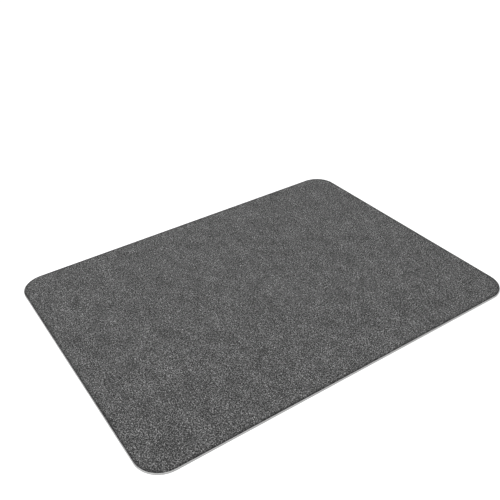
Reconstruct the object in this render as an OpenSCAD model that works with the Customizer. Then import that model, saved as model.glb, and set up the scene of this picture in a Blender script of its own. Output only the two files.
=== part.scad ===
// Office chair mat: a flat, rounded sheet of low-pile carpet bonded to a grey anti-slip base.
// Origin: the middle of the underside, on the floor. +X runs along the long sides, +Z is up.

/* [Outline] */
// Length of the mat, along X
mat_l = 1219; // [900:1:1600]
// Width of the mat, along Y
mat_w = 914; // [600:1:1200]
// Radius of the four rounded corners
corner_r = 74; // [20:1:150]

/* [Layers] */
// Thickness of the foamed anti-slip base that lies on the floor
base_t = 4.6; // [2:0.1:6]
// Thickness of the adhesive film between the base and the scrim
film_t = 0.2; // [0.1:0.05:0.5]
// Thickness of the woven scrim that the pile is anchored in
scrim_t = 0.4; // [0.2:0.05:0.8]
// Height of the cut pile above the scrim
pile_t = 1.5; // [1:0.1:4]
// How far the pile's sheared edge stands back from the cut edge of the base
pile_setback = 1.5; // [0:0.1:2]

/* [Hidden] */

// Each layer starts on top of the one below it
film_z = base_t;
scrim_z = film_z + film_t;
pile_z = scrim_z + scrim_t;

$fn = 96;

// The mat's outline, with every edge drawn in by inset; the arcs stay concentric
module outline(inset = 0) {
    square([mat_l - 2 * corner_r, mat_w - 2 * inset], center = true);
    square([mat_l - 2 * inset, mat_w - 2 * corner_r], center = true);
    for (side_x = [-1, 1], side_y = [-1, 1])
        translate([side_x * (mat_l / 2 - corner_r), side_y * (mat_w / 2 - corner_r)])
            circle(r = corner_r - inset);
}

// One sheet of the laminate, from height z up
module layer(z, thickness, inset = 0)
    translate([0, 0, z])
        linear_extrude(height = thickness)
            outline(inset);

// Light grey foamed sheet that grips the floor and cushions the casters
module anti_slip_base()
    color("silver")
        layer(0, base_t);

// Cured adhesive that joins the textile to the base
module bond_film()
    color("gainsboro")
        layer(film_z, film_t);

// Woven sheet that holds the roots of the pile
module scrim()
    color("darkgray")
        layer(scrim_z, scrim_t);

// Dense, sheared, dark heather-grey pile that the casters roll on
module pile_face()
    color("dimgray")
        layer(pile_z, pile_t, pile_setback);

anti_slip_base();
bond_film();
scrim();
pile_face();
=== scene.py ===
import math

import bpy
import numpy as np
from mathutils import Matrix, Vector
from mathutils.geometry import delaunay_2d_cdt


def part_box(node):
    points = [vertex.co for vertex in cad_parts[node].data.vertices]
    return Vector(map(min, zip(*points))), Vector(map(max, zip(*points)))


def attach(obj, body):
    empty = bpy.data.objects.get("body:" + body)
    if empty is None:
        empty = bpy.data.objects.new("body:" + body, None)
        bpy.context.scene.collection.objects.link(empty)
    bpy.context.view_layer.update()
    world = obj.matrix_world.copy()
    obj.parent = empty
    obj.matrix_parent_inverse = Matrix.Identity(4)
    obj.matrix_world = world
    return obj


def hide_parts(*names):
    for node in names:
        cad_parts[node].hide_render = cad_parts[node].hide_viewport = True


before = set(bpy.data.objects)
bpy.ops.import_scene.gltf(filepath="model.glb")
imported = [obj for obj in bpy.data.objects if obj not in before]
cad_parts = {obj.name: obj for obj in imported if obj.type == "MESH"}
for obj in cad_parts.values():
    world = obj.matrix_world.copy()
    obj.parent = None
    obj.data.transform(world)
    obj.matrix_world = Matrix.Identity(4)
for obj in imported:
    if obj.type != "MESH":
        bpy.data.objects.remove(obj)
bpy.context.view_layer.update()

MM = 0.001

# ---- Sizes, in metres, from the frame where it has them

BASE_LOW, BASE_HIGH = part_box("anti_slip_base")
FILM_LOW, FILM_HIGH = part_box("bond_film")
SCRIM_LOW, SCRIM_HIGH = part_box("scrim")
PILE_LOW, PILE_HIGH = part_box("pile_face")
HALF_L, HALF_W = BASE_HIGH.x, BASE_HIGH.y
PILE_SETBACK = HALF_L - PILE_HIGH.x
CORNER_R = 74 * MM

RIM_PITCH = 3.4 * MM        # between neighbouring points round the edges of the pile and the base
CAP_PITCH = 40 * MM         # between neighbouring points of a flat face that another piece covers
CAP_MARGIN = 20 * MM        # from those points to the outline

TUFT_PITCH = 4.0 * MM       # between neighbouring tufts on the face of the pile
TUFT_JITTER = 0.28          # how far a tuft may be out of line, in pitches
TUFT_MARGIN = 4.2 * MM      # from the pile's edge to the outermost tufts
TUFT_RISE = 0.15 * MM       # how far one tuft may stand above or below the face
HOLLOWS = [(9 * MM, 0.08 * MM), (70 * MM, 0.15 * MM)]   # the face's soft hollows: their width and depth
RAGGED = 0.18 * MM          # how far the pile's cut edge may stand in or out
RAGGED_UP = 0.08 * MM       # how far it may stand up or down

YARN_PITCH = 2.2 * MM       # between neighbouring yarns of the scrim
YARN_END = 0.12 * MM        # how far the cut yarns stand in and out round the scrim's edge
YARN_ROUND = 0.1 * MM       # how far the scrim's edge draws in at its top and bottom

FILM_PITCH = 4 * MM         # between neighbouring points round the adhesive's edge
FILM_ROUND = 0.1 * MM       # how far its edge draws in at its top and bottom
SQUEEZE_OUT = 0.15 * MM     # how far its edge runs in and out
SQUEEZE_WIDTH = 14 * MM     # the width of one such wave

CUT_WANDER = 0.1 * MM       # how far the base's cut side runs in and out
CUT_WIDTH = 25 * MM         # the width of one such wave
GRIP_PITCH = 16 * MM        # between neighbouring nubs on the underside
GRIP_MARGIN = 8 * MM        # from the outermost nubs' middles to the outline
GRIP_R = 3.2 * MM
GRIP_TIP_R = 2.3 * MM
GRIP_HEIGHT = 0.5 * MM
GRIP_SIDES = 8

# ---- Tones and scales of the pile's material. Stops are pairs of a place, from 0 to 1, and a grey. A pair of
# shades is what the grey is multiplied by where a pattern is weakest and where it is strongest.

TUFT_SIZE = 1.6 * MM
CURL = 3 * MM               # how far the tufts' outlines are bent, for the whole range of the noise
CURL_SIZE = 1.4 * MM
HEATHER_STOPS = [(0, 0.003), (0.35, 0.011), (0.6, 0.04), (0.8, 0.123), (1, 0.255)]
NEIGHBOURS = 6              # places round about that each tuft is set off against
NEIGHBOUR_REACH = 3.9 * MM  # how far off they are
NEIGHBOUR_SHARE = 0.4 / NEIGHBOURS  # how much of the grey at each is taken away
NEIGHBOUR_LIFT = 0.028      # makes up for what they take away
DARKEST = 0.004
HAIR_SIZE = 0.8 * MM
HAIR_SHADE = (0.4, 1.6)
FIBRE_SIZES = (7 * MM, 5 * MM)      # how far apart the long curved fibres lie, in each of two sets
FIBRE_SHADE = (0.85, 1.6)
SECOND_SET = (0.31, 0.17, 0.05)     # moves the second set of fibres away from the first
PAINTED_TUFT_SHADE = (0.69, 2.03)  # painted shade at a tuft's rim, in the gaps between tufts, and painted light at its middle
PATCH_SIZE = 42 * MM
PATCH_STRETCH = (1, 0.6, 1)     # makes the patches longer along Y
PATCH_SHADE = (0.45, 1.55)
RIM_SHADE_DEPTH = 15 * MM        # how far inside the mat's outline the painted shade along the rim ends
# painted shade along the pile's rim: stops from its cut edge inward
RIM_SHADE_STOPS = [(0, 0.35), (0.2, 0.48), (0.4, 0.72), (0.65, 0.94), (1, 1)]


# ---- Camera, floor and light


def add_camera():
    """The camera stands beyond the front left corner, above the mat."""
    aim = Vector((0.0939, 0.1876, 0))
    azimuth, elevation, roll = (math.radians(a) for a in (-32.56, 33.86, -2.12))
    distance = 2.249
    back = Vector((
        math.sin(azimuth) * math.cos(elevation),
        -math.cos(azimuth) * math.cos(elevation),
        math.sin(elevation),
    ))
    data = bpy.data.cameras.new("camera")
    data.sensor_width = 36
    data.lens = 48.31
    data.clip_start = 0.05
    data.clip_end = 100
    camera = bpy.data.objects.new("camera", data)
    turn = (-back).to_track_quat("-Z", "Y").to_matrix() @ Matrix.Rotation(roll, 3, "Z")
    camera.matrix_world = Matrix.Translation(aim + back * distance) @ turn.to_4x4()
    bpy.context.scene.collection.objects.link(camera)
    bpy.context.scene.camera = camera


def add_floor():
    """A wide white floor, just under the mat."""
    half, below = 30, 0.1 * MM
    corners = [(-half, -half, -below), (half, -half, -below), (half, half, -below), (-half, half, -below)]
    floor = add_mesh("floor", corners, [(0, 1, 2, 3)])
    material, shader, _ = new_material("floor_white")
    shader.inputs["Base Color"].default_value = (0.9, 0.9, 0.9, 1)
    shader.inputs["Roughness"].default_value = 0.7
    shader.inputs["Specular IOR Level"].default_value = 0.1
    floor.data.materials.append(material)


def add_lights():
    """An even white studio, with one large soft light that gives the pile its relief."""
    world = bpy.data.worlds.new("studio")
    world.use_nodes = True
    background = world.node_tree.nodes["Background"]
    background.inputs["Color"].default_value = (1, 1, 1, 1)
    background.inputs["Strength"].default_value = 1.12
    bpy.context.scene.world = world
    light = bpy.data.lights.new("soft_key", "AREA")
    light.shape = "RECTANGLE"
    light.size, light.size_y = 4, 3
    light.energy = 190
    lamp = bpy.data.objects.new("soft_key", light)
    place = Vector((-3.2, -1.6, 4.2))
    lamp.matrix_world = Matrix.Translation(place) @ (-place).to_track_quat("-Z", "Y").to_matrix().to_4x4()
    bpy.context.scene.collection.objects.link(lamp)
    bpy.context.scene.view_settings.view_transform = "Standard"


# ---- Mesh helpers


def add_mesh(name, points, faces, smooth=False):
    """A new object with this mesh, at the origin."""
    mesh = bpy.data.meshes.new(name)
    mesh.from_pydata([tuple(p) for p in points], [], [tuple(f) for f in faces])
    mesh.polygons.foreach_set("use_smooth", [smooth] * len(mesh.polygons))
    mesh.update()
    piece = bpy.data.objects.new(name, mesh)
    bpy.context.scene.collection.objects.link(piece)
    return piece


def rim(pitch):
    """Points about pitch apart round the mat's outline, anticlockwise, and the way out at each."""
    places, outs = [], []
    for turn in range(4):
        along = np.array([(1, 0), (0, 1), (-1, 0), (0, -1)][turn], float)
        out = np.array([along[1], -along[0]])
        reach, side = (HALF_L, HALF_W) if turn % 2 == 0 else (HALF_W, HALF_L)
        straight = reach - CORNER_R
        steps = round(2 * straight / pitch)
        t = np.linspace(-straight, straight, steps, endpoint=False)[:, None]
        places.append(out * side + along * t)
        outs.append(np.repeat(out[None], steps, 0))
        steps = round(math.pi / 2 * CORNER_R / pitch)
        a = np.linspace(0, math.pi / 2, steps, endpoint=False)[:, None]
        ray = out * np.cos(a) + along * np.sin(a)
        places.append(out * (side - CORNER_R) + along * straight + CORNER_R * ray)
        outs.append(ray)
    return np.concatenate(places), np.concatenate(outs)


def depth_inside(xy):
    """How far inside the mat's outline each point is."""
    beyond = np.abs(xy) - (np.array([HALF_L, HALF_W]) - CORNER_R)
    past = np.linalg.norm(np.maximum(beyond, 0), axis=1) + np.minimum(beyond.max(1), 0)
    return CORNER_R - past


def scattered(pitch, margin, jitter, rng):
    """Points in a triangular lattice, each moved at random by up to jitter pitches. Only those that lie more
    than margin inside the outline are kept."""
    rows = math.ceil(2 * HALF_W / (pitch * math.sqrt(0.75)))
    columns = math.ceil(2 * HALF_L / pitch)
    i, j = np.meshgrid(np.arange(columns), np.arange(rows))
    x = (i + 0.5 * (j % 2)) * pitch - HALF_L
    y = j * pitch * math.sqrt(0.75) - HALF_W
    xy = np.stack([x.ravel(), y.ravel()], 1)
    xy += rng.uniform(-jitter, jitter, xy.shape) * pitch
    return xy[depth_inside(xy) > margin]


def fill(ring, inner):
    """Triangles that fill the closed ring, through the inner points, which are numbered after the ring's."""
    flat = np.concatenate([ring, inner])
    count = len(ring)
    edges = [(i, (i + 1) % count) for i in range(count)]
    made = delaunay_2d_cdt([Vector(p) for p in flat], edges, [], 1, 1e-9)
    given = [source[0] for source in made[3]]
    return [[given[v] for v in face] for face in made[2]]


def slab(rings, low_inner, high_inner):
    """A closed solid's points and faces. rings is an array of (rings, points round, 3) that goes from the rim
    of the underside, up the side, to the rim of the top. Triangles fill the first and the last ring, through
    the points low_inner and high_inner."""
    levels, count, _ = rings.shape
    points = np.concatenate([rings.reshape(-1, 3), low_inner, high_inner])
    around = np.arange(count)
    after = (around + 1) % count
    faces = []
    for level in range(levels - 1):
        low, high = level * count, (level + 1) * count
        faces += np.stack([low + around, low + after, high + after, high + around], 1).tolist()
    first_low, first_high = levels * count, levels * count + len(low_inner)
    for face in fill(rings[0, :, :2], low_inner[:, :2]):
        faces.append([v if v < count else v - count + first_low for v in reversed(face)])
    for face in fill(rings[-1, :, :2], high_inner[:, :2]):
        faces.append([v + (levels - 1) * count if v < count else v - count + first_high for v in face])
    return points, faces


def at_height(xy, z):
    """The points xy at the height z, which may differ from point to point."""
    return np.column_stack([xy, np.broadcast_to(z, len(xy))])


def profile_rings(pitch, profile):
    """One ring of points for each (inset, height) in profile."""
    edge, out = rim(pitch)
    return np.stack([at_height(edge - inset * out, z) for inset, z in profile]), out


def smooth_noise(xy, cell, rng):
    """Soft random hills about cell across, from -1 to 1."""
    size = np.ceil(2 * np.array([HALF_L, HALF_W]) / cell).astype(int) + 3
    lattice = rng.uniform(-1, 1, size)
    place = (xy + [HALF_L, HALF_W]) / cell + 1
    corner = np.clip(np.floor(place).astype(int), 0, size - 2)
    part = place - corner
    part = part * part * (3 - 2 * part)
    low = lattice[corner[:, 0], corner[:, 1]] * (1 - part[:, 0])
    low += lattice[corner[:, 0] + 1, corner[:, 1]] * part[:, 0]
    high = lattice[corner[:, 0], corner[:, 1] + 1] * (1 - part[:, 0])
    high += lattice[corner[:, 0] + 1, corner[:, 1] + 1] * part[:, 0]
    return low * (1 - part[:, 1]) + high * part[:, 1]


# ---- Node helpers


def new_material(name):
    """A new material, its Principled shader and a function that adds a node to it."""
    material = bpy.data.materials.new(name)
    material.use_nodes = True
    tree = material.node_tree
    shader = tree.nodes["Principled BSDF"]

    def add(kind, inputs=None, **settings):
        made = tree.nodes.new("ShaderNode" + kind)
        for key, value in settings.items():
            setattr(made, key, value)
        for key, value in (inputs or {}).items():
            if isinstance(value, bpy.types.NodeSocket):
                tree.links.new(value, made.inputs[key])
            else:
                made.inputs[key].default_value = value
        return made

    return material, shader, add


def link(shader, socket, value):
    """Joins a node's output to one of the shader's inputs."""
    shader.id_data.links.new(value, shader.inputs[socket])


def ramp(add, value, stops):
    """A colour ramp over value, with a grey level at each (place, grey) stop."""
    made = add("ValToRGB", {"Fac": value})
    elements = made.color_ramp.elements
    while len(elements) < len(stops):
        elements.new(0.5)
    for element, (place, grey) in zip(elements, stops, strict=True):
        element.position = place
        element.color = (grey, grey, grey, 1)
    return made.outputs["Color"]


def spread(add, value, low, high):
    """value, from 0 to 1, brought to the range from low to high."""
    return add("MapRange", {"Value": value, "To Min": low, "To Max": high}).outputs["Result"]


def falling(add, value, reach):
    """1 where value is 0, falling to 0 where it is reach or more."""
    return add("MapRange", {"Value": value, "From Max": reach, "To Min": 1, "To Max": 0}).outputs["Result"]


def times(add, a, b):
    """A node that multiplies two numbers."""
    return add("Math", {0: a, 1: b}, operation="MULTIPLY").outputs[0]


def plus(add, a, b):
    """A node that adds two numbers."""
    return add("Math", {0: a, 1: b}, operation="ADD").outputs[0]


def vector_math(add, operation, a, b):
    """A node that does this operation on two vectors or colours."""
    return add("VectorMath", {0: a, 1: b}, operation=operation).outputs["Vector"]


def scaled(add, vector, by):
    """A node that multiplies a vector or colour by a number."""
    return add("VectorMath", {0: vector, "Scale": by}, operation="SCALE").outputs["Vector"]


def noise(add, place, size, detail, **more):
    """A noise node with hills about size across. more sets its other inputs."""
    return add("TexNoise", {"Vector": place, "Scale": 1 / size, "Detail": detail, **more})


def set_bump(add, shader, strength, depth, height):
    """Relief on the whole surface, depth deep where height changes by 1."""
    bump = add("Bump", {"Strength": strength, "Distance": depth, "Height": height})
    link(shader, "Normal", bump.outputs["Normal"])


# ---- Materials


def heather(add, place):
    """A random grey for each tuft, most of them dark and a few pale, and the distance from its middle."""
    tufts = add("TexVoronoi", {"Vector": place, "Scale": 1 / TUFT_SIZE})
    tone = add("SeparateColor", {"Color": tufts.outputs["Color"]}).outputs["Red"]
    return ramp(add, tone, HEATHER_STOPS), tufts.outputs["Distance"]


def unlike_neighbours(add, place, own):
    """own less a share of the greys round about, so that a pale tuft has darker ones beside it."""
    total = own
    for turn in range(NEIGHBOURS):
        angle = turn * 2 * math.pi / NEIGHBOURS
        step = (NEIGHBOUR_REACH * math.cos(angle), NEIGHBOUR_REACH * math.sin(angle), 0)
        grey, _ = heather(add, vector_math(add, "ADD", place, step))
        total = vector_math(add, "SUBTRACT", total, scaled(add, grey, NEIGHBOUR_SHARE))
    lifted = vector_math(add, "ADD", total, (NEIGHBOUR_LIFT,) * 3)
    return vector_math(add, "MAXIMUM", lifted, (DARKEST,) * 3)


def curled(add, place):
    """place, bent at random, so that the tufts' outlines are frayed."""
    curl = noise(add, place, CURL_SIZE, 1).outputs["Color"]
    bend = vector_math(add, "SUBTRACT", curl, (0.5, 0.5, 0.5))
    return vector_math(add, "ADD", place, scaled(add, bend, CURL))


def fibre_set(add, place, size):
    """1 on thin lines that wander over the pile, size apart, and 0 between them."""
    hills = noise(add, place, size, 1, Distortion=0.5).outputs["Fac"]
    off = add("Math", {0: plus(add, hills, -0.5)}, operation="ABSOLUTE").outputs[0]
    return falling(add, off, 0.05)


def long_fibres(add, place):
    """Both sets of curved fibres: 1 on them and 0 between them."""
    first = fibre_set(add, place, FIBRE_SIZES[0])
    second = fibre_set(add, vector_math(add, "ADD", place, SECOND_SET), FIBRE_SIZES[1])
    return add("Math", {0: first, 1: second}, operation="MAXIMUM").outputs[0]


def painted_rim_shade(add):
    """Painted shade: the pile's colour is darker along its cut edge, fading to none further in."""
    inset = add("Attribute", attribute_name="inset").outputs["Fac"]
    inward = add("MapRange", {"Value": inset, "From Min": PILE_SETBACK, "From Max": RIM_SHADE_DEPTH})
    return ramp(add, inward.outputs["Result"], RIM_SHADE_STOPS)


def pile_material():
    """Felted heather: a grey for each round tuft, hairs, long pale fibres and patches, with painted shade
    between the tufts, painted light on their middles and painted shade along the rim.
    """
    material, shader, add = new_material("heather_pile")
    place = add("TexCoord").outputs["Object"]
    tuft_place = curled(add, place)
    own, off_middle = heather(add, tuft_place)
    greys = unlike_neighbours(add, tuft_place, own)
    # 1 at a tuft's middle, falling towards its rim: the tufts' relief, and the mask for the painted shade
    # between them
    crown_relief_and_shade = falling(add, off_middle, 0.7)
    over = long_fibres(add, place)
    hairs = noise(add, place, HAIR_SIZE, 2, Roughness=0.7, Distortion=1.5).outputs["Fac"]
    stretched = vector_math(add, "MULTIPLY", place, PATCH_STRETCH)
    patches = noise(add, stretched, PATCH_SIZE, 2, Roughness=0.85).outputs["Fac"]
    shade = times(add, spread(add, hairs, *HAIR_SHADE), spread(add, over, *FIBRE_SHADE))
    # painted shade in the gaps between tufts, painted light on their middles
    shade = times(add, shade, spread(add, crown_relief_and_shade, *PAINTED_TUFT_SHADE))
    shade = times(add, shade, spread(add, patches, *PATCH_SHADE))
    # painted shade along the pile's cut edge
    shade = times(add, shade, painted_rim_shade(add))
    link(shader, "Base Color", scaled(add, greys, shade))
    shader.inputs["Roughness"].default_value = 0.95
    shader.inputs["Specular IOR Level"].default_value = 0.1
    shader.inputs["Sheen Weight"].default_value = 0.05
    shader.inputs["Sheen Roughness"].default_value = 0.6
    set_bump(add, shader, 0.9, 0.6 * MM, plus(add, plus(add, over, hairs), crown_relief_and_shade))
    return material


def scrim_material():
    """Grey yarns in a plain weave."""
    material, shader, add = new_material("woven_scrim")
    place = add("TexCoord").outputs["Object"]
    across = add("TexWave", {"Vector": place, "Scale": 1 / YARN_PITCH / 20}, bands_direction="X")
    along = add("TexWave", {"Vector": place, "Scale": 1 / YARN_PITCH / 20}, bands_direction="Y")
    weave = times(add, across.outputs["Fac"], along.outputs["Fac"])
    fuzz = noise(add, place, 0.5 * MM, 2).outputs["Fac"]
    shade = plus(add, times(add, weave, 0.4), fuzz)
    link(shader, "Base Color", ramp(add, shade, [(0.3, 0.26), (0.9, 0.46)]))
    shader.inputs["Roughness"].default_value = 0.9
    shader.inputs["Specular IOR Level"].default_value = 0.2
    set_bump(add, shader, 0.5, 0.15 * MM, shade)
    return material


def film_material():
    """Cured adhesive: off-white, a little uneven in tone and gloss."""
    material, shader, add = new_material("cured_adhesive")
    place = add("TexCoord").outputs["Object"]
    cloud = noise(add, place, 3 * MM, 3).outputs["Fac"]
    tone = add("ValToRGB", {"Fac": cloud})
    tone.color_ramp.elements[0].color = (0.5, 0.49, 0.45, 1)
    tone.color_ramp.elements[1].color = (0.68, 0.67, 0.64, 1)
    link(shader, "Base Color", tone.outputs["Color"])
    link(shader, "Roughness", spread(add, cloud, 0.45, 0.7))
    set_bump(add, shader, 0.3, 0.1 * MM, cloud)
    return material


def base_material():
    """Pale grey foamed rubber: fine open cells, and a soft variation in tone."""
    material, shader, add = new_material("foamed_rubber")
    place = add("TexCoord").outputs["Object"]
    cells = add("TexVoronoi", {"Vector": place, "Scale": 1 / (0.8 * MM)}).outputs["Distance"]
    grain = noise(add, place, 0.3 * MM, 2).outputs["Fac"]
    cloud = noise(add, place, 40 * MM, 3).outputs["Fac"]
    pores = ramp(add, cells, [(0, 0.2), (0.3, 0.28)])
    shade = times(add, spread(add, grain, 0.85, 1.15), spread(add, cloud, 0.94, 1.06))
    link(shader, "Base Color", scaled(add, pores, shade))
    link(shader, "Roughness", spread(add, grain, 0.7, 0.95))
    shader.inputs["Specular IOR Level"].default_value = 0.3
    set_bump(add, shader, 0.5, 0.2 * MM, plus(add, cells, times(add, grain, 0.3)))
    return material


# ---- Pieces


def spare_points(rng):
    """Widely spaced points for a flat face that another piece covers."""
    return scattered(CAP_PITCH, CAP_MARGIN, 0, rng)


def make_pile():
    """The carpet face: tufts of uneven height, with a softly rounded, slightly ragged sheared edge."""
    rng = np.random.default_rng(11)
    depth = PILE_HIGH.z - PILE_LOW.z
    profile = [     # how far in, in mm, and how far up, from 0 to 1
        (0.3, 0), (0, 0.25), (0, 0.5), (0.1, 0.75), (0.4, 0.9), (1.0, 0.98), (2.0, 1),
    ]
    levels = [(PILE_SETBACK + inset * MM, PILE_LOW.z + share * depth) for inset, share in profile]
    rings, out = profile_rings(RIM_PITCH, levels)
    ragged = rng.uniform(-RAGGED, RAGGED, (len(levels) - 1, len(out)))
    rings[1:, :, :2] += ragged[:, :, None] * out
    rings[2:, :, 2] += rng.uniform(-RAGGED_UP, RAGGED_UP, (len(levels) - 2, len(out)))
    tips = scattered(TUFT_PITCH, PILE_SETBACK + TUFT_MARGIN, TUFT_JITTER, rng)
    rise = TUFT_RISE * rng.uniform(-1, 1, len(tips))
    for width, deep in HOLLOWS:
        rise += deep * smooth_noise(tips, width, rng)
    high = at_height(tips, PILE_HIGH.z + rise)
    low = at_height(spare_points(rng), PILE_LOW.z)
    points, faces = slab(rings, low, high)
    pile = add_mesh("pile", points, faces, smooth=True)
    insets = pile.data.attributes.new("inset", "FLOAT", "POINT")
    insets.data.foreach_set("value", depth_inside(points[:, :2]).astype(np.float32))
    pile.data.materials.append(pile_material())
    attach(pile, "root")
    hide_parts("pile_face")
    return pile


def make_scrim():
    """The woven sheet under the pile: its cut yarns stand out a little round the edge."""
    rng = np.random.default_rng(12)
    bottom, top = SCRIM_LOW.z, SCRIM_HIGH.z
    levels = [(YARN_ROUND, bottom), (0, (bottom + top) / 2), (YARN_ROUND, top)]
    rings, out = profile_rings(YARN_PITCH, levels)
    yarns = YARN_END * np.where(np.arange(len(out)) % 2, 1, -1) * rng.uniform(0.6, 1, len(out))
    rings[:, :, :2] += (yarns[:, None] - YARN_END) * out
    inner = spare_points(rng)
    weave = add_mesh("scrim_weave", *slab(rings, at_height(inner, bottom), at_height(inner, top)))
    weave.data.materials.append(scrim_material())
    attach(weave, "root")
    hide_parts("scrim")
    return weave


def make_film():
    """The adhesive: its edge runs in slow waves, squeezed out here and drawn in there."""
    rng = np.random.default_rng(13)
    bottom, top = FILM_LOW.z, FILM_HIGH.z
    levels = [(FILM_ROUND, bottom), (0, (bottom + top) / 2), (FILM_ROUND, top)]
    rings, out = profile_rings(FILM_PITCH, levels)
    wave = SQUEEZE_OUT * (smooth_noise(rings[1, :, :2], SQUEEZE_WIDTH, rng) - 1)
    rings[:, :, :2] += wave[:, None] * out
    inner = spare_points(rng)
    points, faces = slab(rings, at_height(inner, bottom), at_height(inner, top))
    film = add_mesh("adhesive_film", points, faces, smooth=True)
    film.data.materials.append(film_material())
    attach(film, "root")
    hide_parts("bond_film")
    return film


def grip_nubs(rng):
    """Points of the underside's nubs: a ring round the foot of each, and a smaller one round its tip."""
    middles = scattered(GRIP_PITCH, GRIP_MARGIN, 0, rng)
    angles = np.arange(GRIP_SIDES) * 2 * math.pi / GRIP_SIDES
    ray = np.stack([np.cos(angles), np.sin(angles)], 1)
    foot = (middles[:, None] + ray * GRIP_R).reshape(-1, 2)
    tip = (middles[:, None] + ray * GRIP_TIP_R).reshape(-1, 2)
    z = BASE_LOW.z
    return np.concatenate([at_height(foot, z + GRIP_HEIGHT), at_height(tip, z)])


def make_base():
    """The foamed base: a cut side that bulges very slightly, and round grip nubs under it."""
    rng = np.random.default_rng(14)
    bottom, top = BASE_LOW.z, BASE_HIGH.z
    levels = [
        (2.0 * MM, bottom), (0.25 * MM, bottom), (0.05 * MM, bottom + 0.2 * MM), (0, bottom + 1.2 * MM),
        (0, top - 1.2 * MM), (0.05 * MM, top - 0.2 * MM), (0.2 * MM, top),
    ]
    rings, out = profile_rings(RIM_PITCH, levels)
    cut = CUT_WANDER * (smooth_noise(rings[1, :, :2], CUT_WIDTH, rng) - 1)
    rings[1:, :, :2] += cut[:, None] * out
    nubs = grip_nubs(rng)
    cap = at_height(spare_points(rng), top)
    base = add_mesh("base_foam", *slab(rings, nubs, cap))
    base.data.materials.append(base_material())
    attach(base, "root")
    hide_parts("anti_slip_base")
    return base


add_camera()
add_floor()
add_lights()
base = make_base()
film = make_film()
weave = make_scrim()
pile = make_pile()
